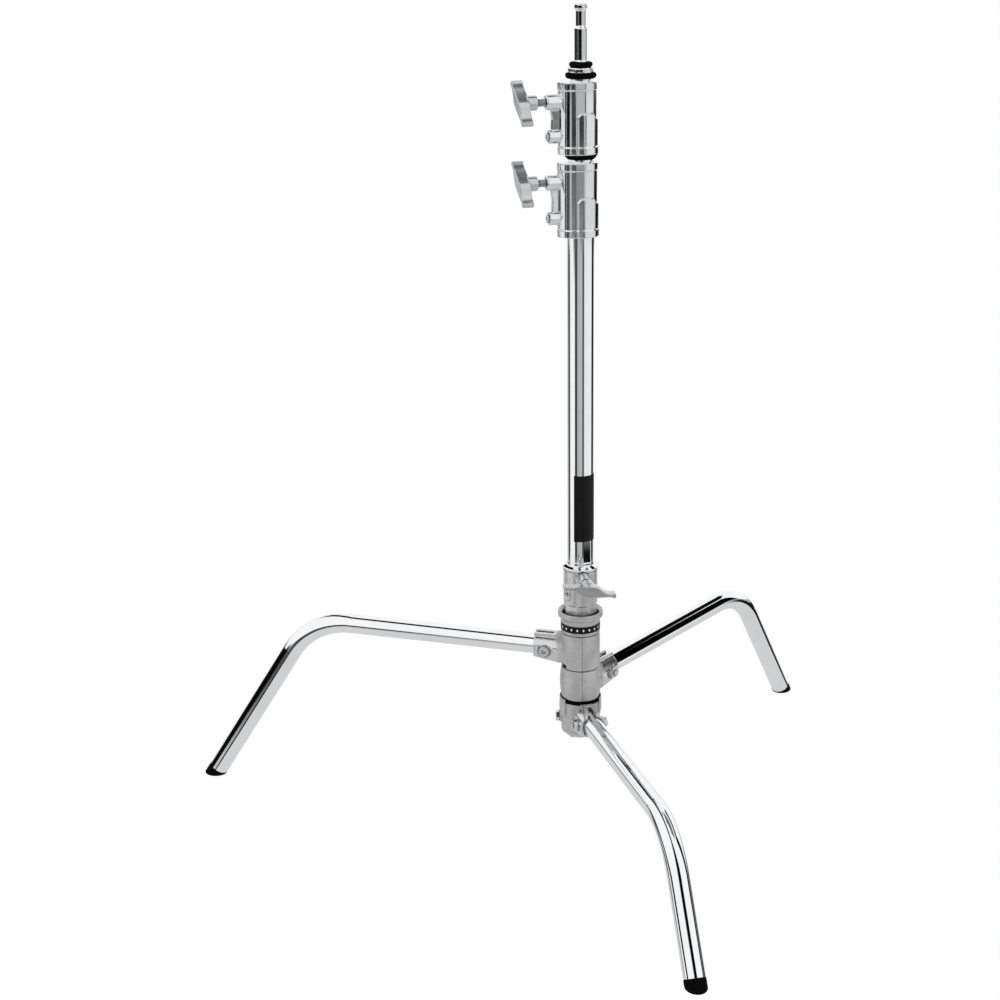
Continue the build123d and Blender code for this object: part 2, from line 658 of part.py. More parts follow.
SET_BOLT_AZIMUTH = 184.0
SET_BOLT_Z = 137.0
set_bolt_seat_r = HUB_R + 2.5
with BuildPart() as centre_post:
    with BuildSketch(Plane.XY.offset(POST_BOTTOM_Z)):
        Circle(POST_R)
        Circle(receiver_bore_r, mode=Mode.SUBTRACT)
    extrude(amount=POST_TOP_Z - POST_BOTTOM_Z)
    with BuildSketch(radial_plane(SET_BOLT_AZIMUTH, SET_BOLT_Z, POST_R - 8)):
        Circle(LEG_BOLT_R)
    extrude(amount=12, mode=Mode.SUBTRACT)
finish(centre_post.part, "centre_post")


# ---------------------------------------------------------------- hubs with their leg sockets
bolt_seat = SOCKET_SIDE - SPOT_FACE_DEPTH


def leg_height(leg, distance):
    """Height of the leg's upper run at a distance from the stand's axis."""
    return leg[1] + tan(radians(LEG_RISE)) * (distance - SOCKET_REF_R)


def socket_plane(leg, distance):
    """Plane across the leg's upper run, facing out along it."""
    rise = radians(LEG_RISE)
    direction = outward(leg[0]) * cos(rise) + Vector(0, 0, sin(rise))
    origin = outward(leg[0]) * distance + Vector(0, 0, leg_height(leg, distance))
    return Plane(origin=origin, x_dir=outward(leg[0] - 90), z_dir=direction)


def bolt_plane(leg, offset):
    """Plane across the leg bolt, at an offset from the leg's centre towards local left."""
    bolt_z = leg_height(leg, LEG_BOLT_REACH) - LEG_BOLT_DROP
    side = -outward(leg[0] + 90)
    origin = outward(leg[0]) * LEG_BOLT_REACH + Vector(0, 0, bolt_z) + side * offset
    return Plane(origin=origin, x_dir=outward(leg[0]), z_dir=side)


def leg_socket(leg):
    """Solid socket: round sleeve, flat sides with a web, and the ridge on top."""
    mouth_z = leg_height(leg, SOCKET_MOUTH_R)
    with BuildPart() as socket:
        with BuildSketch(socket_plane(leg, SOCKET_MOUTH_R)):
            Circle(SOCKET_R)
        extrude(amount=-SOCKET_MOUTH_R + 6)
        with BuildSketch(side_plane(leg[0])):
            with BuildLine():
                Polyline(
                    (10, mouth_z - WEB_HUB_DROP),
                    (HUB_R + 1, mouth_z - WEB_HUB_DROP),
                    (SOCKET_MOUTH_R - 1, mouth_z - WEB_MOUTH_DROP),
                    (SOCKET_MOUTH_R - 0.3, mouth_z - WEB_MOUTH_DROP + 1),
                    (SOCKET_MOUTH_R, mouth_z + 4.5),
                    (SOCKET_MOUTH_R - 18, mouth_z + 3),
                    (HUB_R + 1, mouth_z - 4),
                    (10, mouth_z - 4),
                    close=True,
                )
            make_face()
        extrude(amount=SOCKET_SIDE, both=True)
        with BuildSketch(side_plane(leg[0])):
            with BuildLine():
                Polyline(
                    (10, mouth_z + 8),
                    (SOCKET_MOUTH_R, mouth_z + 8),
                    (SOCKET_MOUTH_R, mouth_z + SOCKET_RIDGE_TOP),
                    (10, mouth_z + SOCKET_RIDGE_TOP - 1),
                    close=True,
                )
            make_face()
        extrude(amount=SOCKET_RIDGE_W / 2, both=True)
    return socket.part


def leg_hub(leg, bore_r, bulge):
    """Cast hub on the centre post with a slotted socket for one leg."""
    low_z, high_z = leg[2], leg[3]
    middle_z = (low_z + high_z) / 2
    slot_start_r = SOCKET_MOUTH_R - SOCKET_SLOT_LENGTH
    with BuildPart() as hub:
        with BuildSketch(Plane.XZ):
            with BuildLine():
                Line((0, low_z), (HUB_R - 1.5, low_z))
                ThreePointArc((HUB_R - 1.5, low_z), (HUB_R - 0.44, low_z + 0.44), (HUB_R, low_z + 1.5))
                ThreePointArc((HUB_R, low_z + 1.5), (HUB_R + bulge, middle_z), (HUB_R, high_z - 1))
                Line((HUB_R, high_z - 1), (HUB_R - 1, high_z))
                Line((HUB_R - 1, high_z), (0, high_z))
                Line((0, high_z), (0, low_z))
            make_face()
        revolve(axis=Axis.Z)
        add(leg_socket(leg))
        # openings: space above and below the hub, post bore, leg bore, slot, bolt hole and spot faces
        for clear_z in (low_z - 20, high_z):
            with BuildSketch(Plane.XY.offset(clear_z)):
                Circle(HUB_R + 2.5)
            extrude(amount=20, mode=Mode.SUBTRACT)
        with BuildSketch(Plane.XY.offset(low_z)):
            Circle(bore_r)
        extrude(amount=high_z - low_z, mode=Mode.SUBTRACT)
        with BuildSketch(socket_plane(leg, SOCKET_START_R)):
            Circle(LEG_R)
        extrude(amount=SOCKET_MOUTH_R, mode=Mode.SUBTRACT)
        with BuildSketch(side_plane(leg[0])):
            with Locations((slot_start_r + SOCKET_SLOT_LENGTH, leg_height(leg, SOCKET_MOUTH_R) + SOCKET_R)):
                Rectangle(2 * SOCKET_SLOT_LENGTH, 16)
        extrude(amount=SOCKET_SLOT / 2, both=True, mode=Mode.SUBTRACT)
        with BuildSketch(bolt_plane(leg, -30)):
            Circle(LEG_BOLT_R + RUNNING)
        extrude(amount=60, mode=Mode.SUBTRACT)
        for side in (-1, 1):
            with BuildSketch(bolt_plane(leg, side * (SOCKET_SIDE - SPOT_FACE_DEPTH))):
                Circle(SPOT_FACE_R)
            extrude(amount=side * 10, mode=Mode.SUBTRACT)
    return hub.part


def leg_tube(leg):
    """Bent leg: gently rising upper run, bend, steep lower run to the foot."""
    corner_z = leg_height(leg, LEG_CORNER_R)
    drop = radians(LEG_DROP)
    end_z = LEG_R * cos(drop) + LEG_END_GAP
    end_r = LEG_CORNER_R + (corner_z - end_z) / tan(drop)
    with BuildPart() as tube:
        with BuildLine(side_plane(leg[0])) as path:
            FilletPolyline(
                (SOCKET_START_R, leg_height(leg, SOCKET_START_R)),
                (LEG_CORNER_R, corner_z),
                (end_r, end_z),
                radius=LEG_BEND_R,
            )
        with BuildSketch(Plane(origin=path.line @ 0, z_dir=path.line % 0)):
            Circle(LEG_R)
            Circle(LEG_R - LEG_WALL, mode=Mode.SUBTRACT)
        sweep(path=path.line)
        with BuildSketch(bolt_plane(leg, -30)):
            Circle(LEG_BOLT_R + RUNNING)
        extrude(amount=60, mode=Mode.SUBTRACT)
    return tube.part


def leg_foot(leg):
    """Rubber plug in the leg's end, cut flat on the floor."""
    corner_z = leg_height(leg, LEG_CORNER_R)
    drop = radians(LEG_DROP)
    end_z = LEG_R * cos(drop) + LEG_END_GAP
    end_r = LEG_CORNER_R + (corner_z - end_z) / tan(drop)
    down = outward(leg[0]) * cos(drop) + Vector(0, 0, -sin(drop))
    end = Plane(origin=outward(leg[0]) * end_r + Vector(0, 0, end_z), z_dir=down)
    with BuildPart() as foot:
        with BuildSketch(end):
            Circle(LEG_R + 0.3)
        extrude(amount=30)
        split(bisect_by=Plane.XY, keep=Keep.TOP)
        sole = foot.faces().sort_by(Axis.Z)[0]
        fillet(sole.edges(), 1.6)
        with BuildSketch(end):
            Circle(LEG_R - LEG_WALL)
        extrude(amount=-18)
    return foot.part


def leg_bolt(leg):
    """M8 socket-head bolt through socket and leg."""
    head_h = 5.0
    head_seat = -bolt_seat - WASHER_T
    with BuildPart() as bolt:
        with BuildSketch(bolt_plane(leg, head_seat)):
            Circle(LEG_BOLT_R)
        extrude(amount=2 * bolt_seat + WASHER_T + 9.5)
        with BuildSketch(bolt_plane(leg, head_seat)):
            Circle(6.4)
        extrude(amount=-head_h)
        chamfer(bolt.faces().sort_by(Axis(origin=(0, 0, 0), direction=-outward(leg[0] + 90)))[0].edges(), 0.5)
        with BuildSketch(bolt_plane(leg, head_seat - head_h)):
            RegularPolygon(3.4, 6)
        extrude(amount=3.2, mode=Mode.SUBTRACT)
    return bolt.part


def leg_nut(leg):
    """Nut on the far end of the leg bolt."""
    with BuildPart() as nut:
        with BuildSketch(bolt_plane(leg, bolt_seat + WASHER_T)):
            Circle(HEX_13)
            RegularPolygon(HEX_13, 6, mode=Mode.INTERSECT)
            Circle(LEG_BOLT_R, mode=Mode.SUBTRACT)
        extrude(amount=6.0)
    return nut.part


def leg_washers(leg):
    """Plain washers under the bolt head and under the nut."""
    with BuildPart() as washers:
        for offset in (-bolt_seat - WASHER_T, bolt_seat):
            with BuildSketch(bolt_plane(leg, offset)):
                Circle(8.0)
                Circle(LEG_BOLT_R, mode=Mode.SUBTRACT)
            extrude(amount=WASHER_T)
    return washers.part


with BuildPart() as upper_leg_hub:
    add(leg_hub(UPPER_LEG, POST_R + RUNNING, 0.4))
    # window of the swing stop, in the lower edge
    with BuildSketch(radial_plane(STOP_AZIMUTH, UPPER_LEG[2], POST_R - 1)):
        RectangleRounded(11.5, 12, 1.5)
    extrude(amount=12, mode=Mode.SUBTRACT)
finish(upper_leg_hub.part, "upper_leg_hub")

finish(leg_hub(MIDDLE_LEG, POST_R + RUNNING, 1.8), "middle_leg_hub")

wall_r = HUB_R + 0.9
wall_foot_z = 132.0
wall_shoulder_z = 150.0
wall_top_z = MIDDLE_LEG[2] + 0.2
wall_start = LOWER_LEG[0] + 50
WALL_SWEEP = 246.0
with BuildPart() as lower_leg_hub:
    add(leg_hub(LOWER_LEG, POST_R, 0.3))
    # wall that rises round the friction washer, open over the leg, and a boss for the set bolt
    with BuildSketch(side_plane(wall_start)):
        with BuildLine():
            Polyline(
                (HUB_R - 2, wall_foot_z),
                (HUB_R, wall_foot_z),
                (wall_r + 1.8, wall_shoulder_z),
                (wall_r + 1.4, wall_top_z),
                (wall_r, wall_top_z),
                (wall_r, LOWER_LEG[3] - 1),
                (HUB_R - 2, LOWER_LEG[3] - 2),
                close=True,
            )
        make_face()
    revolve(axis=Axis.Z, revolution_arc=WALL_SWEEP)
    with BuildSketch(radial_plane(SET_BOLT_AZIMUTH, SET_BOLT_Z, HUB_R - 4)):
        Circle(8.5)
    extrude(amount=set_bolt_seat_r - HUB_R + 4)
    with BuildSketch(radial_plane(SET_BOLT_AZIMUTH, SET_BOLT_Z, POST_R - 4)):
        Circle(LEG_BOLT_R)
    extrude(amount=20, mode=Mode.SUBTRACT)
finish(lower_leg_hub.part, "lower_leg_hub")

for leg_name, leg in (("upper", UPPER_LEG), ("middle", MIDDLE_LEG), ("lower", LOWER_LEG)):
    finish(leg_tube(leg), f"{leg_name}_leg_tube")
    finish(leg_foot(leg), f"{leg_name}_leg_foot")
    finish(leg_bolt(leg), f"{leg_name}_leg_bolt")
    finish(leg_nut(leg), f"{leg_name}_leg_nut")
    finish(leg_washers(leg), f"{leg_name}_leg_washers")

with BuildPart() as lower_hub_set_bolt:
    with BuildSketch(radial_plane(SET_BOLT_AZIMUTH, SET_BOLT_Z, receiver_bore_r + 1)):
        Circle(LEG_BOLT_R)
    extrude(amount=set_bolt_seat_r - receiver_bore_r - 1)
    with BuildSketch(radial_plane(SET_BOLT_AZIMUTH, SET_BOLT_Z, set_bolt_seat_r)):
        RegularPolygon(HEX_13, 6)
    extrude(amount=5.0)
finish(lower_hub_set_bolt.part, "lower_hub_set_bolt")

# ---------------------------------------------------------------- washers and the post's lower end
with BuildPart() as thin_washers:
    for low_z, high_z in ((UPPER_LEG[3], RING_BOTTOM_Z), (MIDDLE_LEG[3], UPPER_LEG[2])):
        with BuildSketch(Plane.XY.offset(low_z)):
            Circle(HUB_R - 1.2)
            Circle(POST_R, mode=Mode.SUBTRACT)
        extrude(amount=high_z - low_z)
finish(thin_washers.part, "thin_washers")

finish(ring(POST_R, HUB_R - 0.6, LOWER_LEG[3], MIDDLE_LEG[2]), "friction_washer")

with BuildPart() as post_nut:
    with BuildSketch(Plane.XY.offset(POST_BOTTOM_Z)):
        RegularPolygon(24.5, 6)
        Circle(POST_R, mode=Mode.SUBTRACT)
    extrude(amount=LOWER_LEG[2] - POST_BOTTOM_Z)
finish(post_nut.part, "post_nut")

with BuildPart() as post_end_plug:
    with BuildSketch(Plane.XY.offset(POST_BOTTOM_Z - 2)):
        Circle(POST_R - 1)
    extrude(amount=2)
    with BuildSketch(Plane.XY.offset(POST_BOTTOM_Z)):
        Circle(receiver_bore_r)
    extrude(amount=10)
finish(post_end_plug.part, "post_end_plug")
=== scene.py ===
"""Looks of the C-stand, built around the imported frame. Metres, +Z up, origin on the floor."""
import json
import math

import bpy
import bmesh
import numpy as np
from mathutils import Matrix, Vector
from mathutils.bvhtree import BVHTree
from mathutils.kdtree import KDTree


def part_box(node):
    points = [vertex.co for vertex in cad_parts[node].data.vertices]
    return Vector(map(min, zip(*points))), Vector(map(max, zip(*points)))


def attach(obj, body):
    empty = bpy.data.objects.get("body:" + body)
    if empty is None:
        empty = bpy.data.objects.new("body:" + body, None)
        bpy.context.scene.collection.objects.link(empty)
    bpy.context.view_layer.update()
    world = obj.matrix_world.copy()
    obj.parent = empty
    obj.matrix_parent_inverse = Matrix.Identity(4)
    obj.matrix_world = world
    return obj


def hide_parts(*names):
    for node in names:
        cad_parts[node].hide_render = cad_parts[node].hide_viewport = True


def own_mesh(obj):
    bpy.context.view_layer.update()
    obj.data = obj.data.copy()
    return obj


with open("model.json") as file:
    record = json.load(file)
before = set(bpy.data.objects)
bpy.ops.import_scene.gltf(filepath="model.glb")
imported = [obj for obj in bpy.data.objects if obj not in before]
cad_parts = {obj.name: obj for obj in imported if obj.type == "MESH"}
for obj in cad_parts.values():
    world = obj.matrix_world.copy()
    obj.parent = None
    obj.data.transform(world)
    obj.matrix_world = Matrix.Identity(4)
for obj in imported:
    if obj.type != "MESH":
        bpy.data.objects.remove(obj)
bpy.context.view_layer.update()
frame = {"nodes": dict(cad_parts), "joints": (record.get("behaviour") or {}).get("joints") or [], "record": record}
NODES = frame["nodes"]
SLOTS = {part["node"]: part["material_slot"] for part in frame["record"]["subparts"]}
MM = 0.001
SEAM_AZIMUTH = -84.5                    # parting line of the castings
BUFFED_ROUGH = (0.12, 0.20)             # polished leg sockets
BUFFED_TINTS = ((0.62, 0.62, 0.63), (0.74, 0.74, 0.75))
DIAMONDS = 20                           # printed round the marker band
DIAMOND_HALF_STEP = 0.16                # share of the spacing
DIAMOND_HALF_HEIGHT = 2.0 * MM


# ------------------------------------------------------------------ node helpers
class Nodes:
    """Short way to add and link shader nodes in one tree."""

    def __init__(self, tree):
        self.tree = tree
        tree.nodes.clear()

    def add(self, kind, settings=None, **inputs):
        node = self.tree.nodes.new(kind)
        for name, value in (settings or {}).items():
            setattr(node, name, value)
        for name, value in inputs.items():
            self.feed(node, name.replace("_", " "), value)
        return node

    def feed(self, node, socket, value):
        target = node.inputs[socket]
        if isinstance(value, bpy.types.NodeSocket):
            self.tree.links.new(value, target)
        else:
            target.default_value = value

    def math(self, operation, a, b=0.0):
        node = self.tree.nodes.new("ShaderNodeMath")
        node.operation = operation
        self.feed(node, 0, a)
        self.feed(node, 1, b)
        return node.outputs[0]

    def ramp(self, factor, stops):
        """Colour ramp from (place, grey) stops."""
        node = self.tree.nodes.new("ShaderNodeValToRGB")
        ramp = node.color_ramp
        while len(ramp.elements) < len(stops):
            ramp.elements.new(0.5)
        for element, (place, grey) in zip(ramp.elements, stops):
            element.position = place
            element.color = (grey, grey, grey, 1)
        self.feed(node, 0, factor)
        return node.outputs[0]


def new_material(name):
    material = bpy.data.materials.new(name)
    material.use_nodes = True
    return material, Nodes(material.node_tree)


def output(nodes, shader):
    nodes.add("ShaderNodeOutputMaterial", Surface=shader)


def noise(nodes, scale, detail=3.0, stretch=(1, 1, 1)):
    """Object-space noise, stretched along an axis where asked; scale is per metre."""
    place = nodes.add("ShaderNodeTexCoord").outputs["Object"]
    mapping = nodes.add("ShaderNodeMapping", Vector=place, Scale=stretch)
    texture = nodes.add("ShaderNodeTexNoise", Vector=mapping.outputs[0], Scale=scale, Detail=detail)
    return texture.outputs["Fac"]


def remap(nodes, value, low, high, source=(0.3, 0.7)):
    """Value stretched from the source range to low..high, and held at its ends."""
    node = nodes.add("ShaderNodeMapRange", Value=value)
    nodes.feed(node, 1, source[0])
    nodes.feed(node, 2, source[1])
    nodes.feed(node, 3, low)
    nodes.feed(node, 4, high)
    return node.outputs[0]


def mix(nodes, factor, low, high):
    """Blend of two colours, each an RGB tuple or a socket."""
    node = nodes.add("ShaderNodeMix", {"data_type": "RGBA"})
    nodes.feed(node, 0, factor)
    nodes.feed(node, 6, low if isinstance(low, bpy.types.NodeSocket) else (*low, 1))
    nodes.feed(node, 7, high if isinstance(high, bpy.types.NodeSocket) else (*high, 1))
    return node.outputs[2]


def scaled(tint, share):
    return tuple(c * share for c in tint)


def painted_crevice_shade(nodes, colour, reach, depth):
    """Painted shade: darkens a colour in corners and gaps, where light doesn't get to, by ambient occlusion."""
    shade = nodes.add("ShaderNodeAmbientOcclusion", {"samples": 8}, Distance=reach)
    return mix(nodes, remap(nodes, shade.outputs["AO"], 0.0, 1.0, (0.25, 0.9)), (depth,) * 3, colour)


def bumped(nodes, shader, height):
    bump = nodes.add("ShaderNodeBump", Height=height, Strength=1.0, Distance=1.0)
    nodes.feed(shader, "Normal", bump.outputs[0])


def metal(name, tint, rough, wave=0.0, wave_scale=60.0, grain=0.0, painted_shade_reach=None):
    """Bare or plated metal: uneven polish, faint waviness and fine grain; where asked, painted shade darkens its
    corners and gaps.
    """
    material, nodes = new_material(name)
    cloud = noise(nodes, 35.0, 4.0)
    colour = mix(nodes, remap(nodes, cloud, 0.0, 1.0), scaled(tint, 0.94), tint)
    # painted shade: ambient occlusion darkens the colour in corners and gaps
    if painted_shade_reach:
        colour = painted_crevice_shade(nodes, colour, painted_shade_reach, 0.04)
    gloss = remap(nodes, cloud, *rough)
    shader = nodes.add("ShaderNodeBsdfPrincipled", Metallic=1.0, Roughness=gloss)
    nodes.feed(shader, "Base Color", colour)
    if wave or grain:
        swell = nodes.math("MULTIPLY", noise(nodes, wave_scale, 1.0), wave)
        fine = nodes.math("MULTIPLY", noise(nodes, 900.0, 2.0), grain)
        bumped(nodes, shader, nodes.math("ADD", swell, fine))
    output(nodes, shader.outputs[0])
    return material


def casting(name, tint, metallic, rough, polish_r=None, seam_azimuth=None):
    """Satin cast metal: mottled, fine-grained, painted shade in corners; sockets beyond polish_r are buffed
    brighter.
    """
    material, nodes = new_material(name)
    place = nodes.add("ShaderNodeTexCoord").outputs["Object"]
    axes = nodes.add("ShaderNodeSeparateXYZ", Vector=place)
    patches = noise(nodes, 45.0, 5.0, (1, 1, 0.6))
    specks = noise(nodes, 420.0, 3.0)
    mottle = nodes.math("ADD", nodes.math("MULTIPLY", patches, 0.7), nodes.math("MULTIPLY", specks, 0.3))
    colour = mix(nodes, remap(nodes, mottle, 0.0, 1.0, (0.38, 0.62)), scaled(tint, 0.80), scaled(tint, 1.08))
    shine, gloss = metallic, remap(nodes, patches, rough[0], rough[1])
    if polish_r:
        squares = [nodes.math("POWER", axes.outputs[i], 2.0) for i in (0, 1)]
        out = nodes.math("SQRT", nodes.math("ADD", *squares))
        buffed = remap(nodes, out, 0.0, 1.0, (polish_r, polish_r + 5 * MM))
        shine = remap(nodes, buffed, metallic, 0.95, (0.0, 1.0))
        smooth = remap(nodes, patches, *BUFFED_ROUGH)
        keep = nodes.math("SUBTRACT", 1.0, buffed)
        gloss = nodes.math("ADD", nodes.math("MULTIPLY", gloss, keep), nodes.math("MULTIPLY", smooth, buffed))
        bright = mix(nodes, remap(nodes, mottle, 0.0, 1.0, (0.38, 0.62)), *BUFFED_TINTS)
        colour = mix(nodes, buffed, colour, bright)
    if seam_azimuth is not None:
        turn = nodes.math("ARCTAN2", axes.outputs[1], axes.outputs[0])
        off = nodes.math("ABSOLUTE", nodes.math("SUBTRACT", turn, math.radians(seam_azimuth)))
        line = remap(nodes, off, 1.0, 0.0, (0.008, 0.024))
        colour = mix(nodes, nodes.math("MULTIPLY", line, 0.75), colour, scaled(tint, 0.25))
    # painted shade: ambient occlusion darkens the colour in corners and gaps
    colour = painted_crevice_shade(nodes, colour, 5 * MM, 0.03)
    shader = nodes.add("ShaderNodeBsdfPrincipled", Metallic=shine, Roughness=gloss)
    nodes.feed(shader, "Base Color", colour)
    grain = nodes.math("MULTIPLY", noise(nodes, 1500.0, 3.0), 0.00002)
    dents = nodes.math("MULTIPLY", noise(nodes, 110.0, 2.0), 0.00012)
    bumped(nodes, shader, nodes.math("ADD", grain, dents))
    output(nodes, shader.outputs[0])
    return material


def dark_soft(nodes, tint, rough, grain, grain_scale, sheen=0.15):
    """Colour, sheen and fine grain that rubber, nylon and vinyl share."""
    cloud = noise(nodes, 80.0, 4.0)
    colour = mix(nodes, remap(nodes, cloud, 0.0, 1.0), scaled(tint, 0.7), tint)
    shader = nodes.add("ShaderNodeBsdfPrincipled", Roughness=remap(nodes, cloud, rough[0], rough[1]))
    nodes.feed(shader, "Base Color", colour)
    nodes.feed(shader, "Specular IOR Level", sheen)
    bumped(nodes, shader, nodes.math("MULTIPLY", noise(nodes, grain_scale, 3.0), grain))
    return shader, colour


def plastic(name, tint, rough, grain, grain_scale, sheen=0.15):
    material, nodes = new_material(name)
    output(nodes, dark_soft(nodes, tint, rough, grain, grain_scale, sheen)[0].outputs[0])
    return material


def marked_band(name, tint, rough):
    """Black band with a row of small pale diamonds printed round it."""
    low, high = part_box("marker_band")
    material, nodes = new_material(name)
    shader, colour = dark_soft(nodes, tint, rough, 0.000004, 1500.0)
    place = nodes.add("ShaderNodeTexCoord").outputs["Object"]
    axes = nodes.add("ShaderNodeSeparateXYZ", Vector=place)
    turn = nodes.math("DIVIDE", nodes.math("ARCTAN2", axes.outputs[1], axes.outputs[0]), 2 * math.pi / DIAMONDS)
    step = nodes.math("FRACT", nodes.math("ADD", turn, DIAMONDS))
    along = nodes.math("ABSOLUTE", nodes.math("SUBTRACT", step, 0.5))
    up = nodes.math("ABSOLUTE", nodes.math("SUBTRACT", axes.outputs[2], (low.z + high.z) / 2))
    wide = nodes.math("DIVIDE", along, DIAMOND_HALF_STEP)
    span = nodes.math("ADD", wide, nodes.math("DIVIDE", up, DIAMOND_HALF_HEIGHT))
    print_mask = remap(nodes, span, 1.0, 0.0, (0.85, 1.15))
    nodes.feed(shader, "Base Color", mix(nodes, print_mask, colour, (0.75, 0.75, 0.74)))
    output(nodes, shader.outputs[0])
    return material


MATERIALS = {
    "chrome_tube": metal("chrome_tube", (0.93, 0.94, 0.95), (0.02, 0.05)),
    "satin_casting": metal("collar_chrome", (0.81, 0.82, 0.83), (0.05, 0.11), wave=0.00005, wave_scale=45.0,
                           painted_shade_reach=3 * MM),
    "hub_casting": casting("hub_casting", (0.47, 0.47, 0.475), 0.45, (0.30, 0.42), 31 * MM, SEAM_AZIMUTH),
    "handle": metal("handle_plate", (0.60, 0.61, 0.62), (0.14, 0.24), wave=0.0002, wave_scale=50.0,
                    grain=0.00001, painted_shade_reach=4 * MM),
    "steel": metal("steel", (0.72, 0.73, 0.74), (0.18, 0.30), painted_shade_reach=3 * MM),
    "black_rubber": plastic("black_rubber", (0.002, 0.002, 0.002), (0.75, 0.85), 0.00001, 2500.0, 0.05),
    "black_label": plastic("black_label", (0.005, 0.005, 0.005), (0.28, 0.36), 0.000004, 1500.0),
    "nylon": plastic("nylon", (0.10, 0.10, 0.10), (0.4, 0.5), 0.00001, 1500.0),
    "brass": metal("brass", (0.78, 0.58, 0.27), (0.22, 0.34), painted_shade_reach=3 * MM),
}
SPECIAL = {
    "base_receiver": casting("receiver_casting", (0.64, 0.64, 0.645), 0.8, (0.16, 0.24), 31 * MM, SEAM_AZIMUTH),
    "release_ring": casting("ring_casting", (0.50, 0.50, 0.505), 0.75, (0.24, 0.34)),
    "marker_band": marked_band("marker_band", (0.005, 0.005, 0.005), (0.3, 0.4)),
    # painted shade: the hidden post is near-black so the hub's recess around it reads dark
    "centre_post": metal("post_dark_as_shade", (0.10, 0.10, 0.10), (0.3, 0.4)),
}


def material_of(node):
    """The node's own material, or else that of its material slot."""
    return SPECIAL.get(node) or MATERIALS[SLOTS[node]]


for name, node in NODES.items():
    if not node.data.materials:
        node.data.materials.append(material_of(name))
    for slot in node.material_slots:
        slot.material = material_of(name)


# ------------------------------------------------------------------ shapes
def body_of(node):
    return next(body for body, members in frame["record"]["behaviour"]["bodies"].items() if node in members)


def stand_in(piece, node):
    """piece takes a CAD node's place: its body, its finish and its material."""
    bpy.context.scene.collection.objects.link(piece)
    piece.data.materials.clear()
    piece.data.materials.append(material_of(node))
    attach(piece, body_of(node))
    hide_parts(node)
    return piece


def smoothstep(low, high, value):
    """0 below low, 1 above high, and an even S between them."""
    share = np.clip((value - low) / (high - low), 0.0, 1.0)
    return share * share * (3 - 2 * share)


def edge_points(solid, spacing):
    """Points along the sharp edges of a welded solid."""
    points = []
    for edge in solid.edges:
        if len(edge.link_faces) == 2 and edge.calc_face_angle(0.0) < math.radians(30):
            continue
        start, end = (v.co for v in edge.verts)
        steps = max(1, int((end - start).length / spacing))
        points.extend(start.lerp(end, i / steps) for i in range(steps + 1))
    return points


def true_normals(cad, points):
    """The CAD surface's own smooth normal at the spot nearest to each point."""
    corners = np.zeros(len(cad.loops) * 3)
    cad.corner_normals.foreach_get("vector", corners)
    corners = corners.reshape(-1, 3, 3)
    spots = np.zeros(len(cad.vertices) * 3)
    cad.vertices.foreach_get("co", spots)
    spots = spots.reshape(-1, 3)
    faces = np.array([tuple(p.vertices) for p in cad.polygons])
    tree = BVHTree.FromPolygons([Vector(s) for s in spots], faces.tolist())
    near = [tree.find_nearest(p) for p in points]
    face = np.array([n[2] for n in near])
    place = np.array([n[0] for n in near])
    a, b, c = (spots[faces[face, i]] for i in range(3))
    whole = np.linalg.norm(np.cross(b - a, c - a), axis=1) + 1e-18
    share_a = np.linalg.norm(np.cross(b - place, c - place), axis=1) / whole
    share_b = np.linalg.norm(np.cross(c - place, a - place), axis=1) / whole
    shares = np.stack([share_a, share_b, np.clip(1 - share_a - share_b, 0, 1)], 1)
    normals = (corners[face] * shares[:, :, None]).sum(1)
    return normals / (np.linalg.norm(normals, axis=1)[:, None] + 1e-12)


def softened(node, voxel, passes, ridge=None):
    """Piece standing for a CAD node: the same solid in an even mesh, with rounded edges and inner corners.
    Away from its edges it keeps the CAD surface's own normals, so flats and rounds stay true."""
    cad = NODES[node].data
    solid = bmesh.new()
    solid.from_mesh(cad)
    bmesh.ops.remove_doubles(solid, verts=solid.verts, dist=1e-6)
    sharp = edge_points(solid, voxel)
    mesh = bpy.data.meshes.new(node + "_shape")
    solid.to_mesh(mesh)
    solid.free()
    draft = bpy.data.objects.new("draft", mesh)
    bpy.context.scene.collection.objects.link(draft)
    remesh = draft.modifiers.new("remesh", "REMESH")
    remesh.mode = "VOXEL"
    remesh.voxel_size = voxel
    remesh.use_smooth_shade = True
    smooth = draft.modifiers.new("smooth", "SMOOTH")
    smooth.factor = 0.5
    smooth.iterations = passes
    shape = bpy.data.meshes.new_from_object(draft.evaluated_get(bpy.context.evaluated_depsgraph_get()))
    bpy.data.objects.remove(draft)
    spots = np.zeros(len(shape.vertices) * 3)
    shape.vertices.foreach_get("co", spots)
    spots = spots.reshape(-1, 3)
    tree = KDTree(len(sharp))
    for i, point in enumerate(sharp):
        tree.insert(point, i)
    tree.balance()
    points = [Vector(s) for s in spots]
    reach = np.array([tree.find(p)[2] for p in points]) if sharp else np.ones(len(points))
    if ridge:
        reach = np.minimum(reach, ridge(spots))
        shape.vertices.foreach_set("co", spots.ravel())
        shape.update()
    own = np.zeros(len(shape.vertices) * 3)
    shape.vertices.foreach_get("normal", own)
    own = own.reshape(-1, 3)
    blur = voxel * (1.2 + 0.45 * math.sqrt(passes))
    trust = smoothstep(blur, 1.8 * blur, reach)[:, None]
    normals = own * (1 - trust) + true_normals(cad, points) * trust
    normals /= np.linalg.norm(normals, axis=1)[:, None] + 1e-12
    shape.normals_split_custom_set_from_vertices(normals.tolist())
    return stand_in(bpy.data.objects.new(node + "_shape", shape), node)


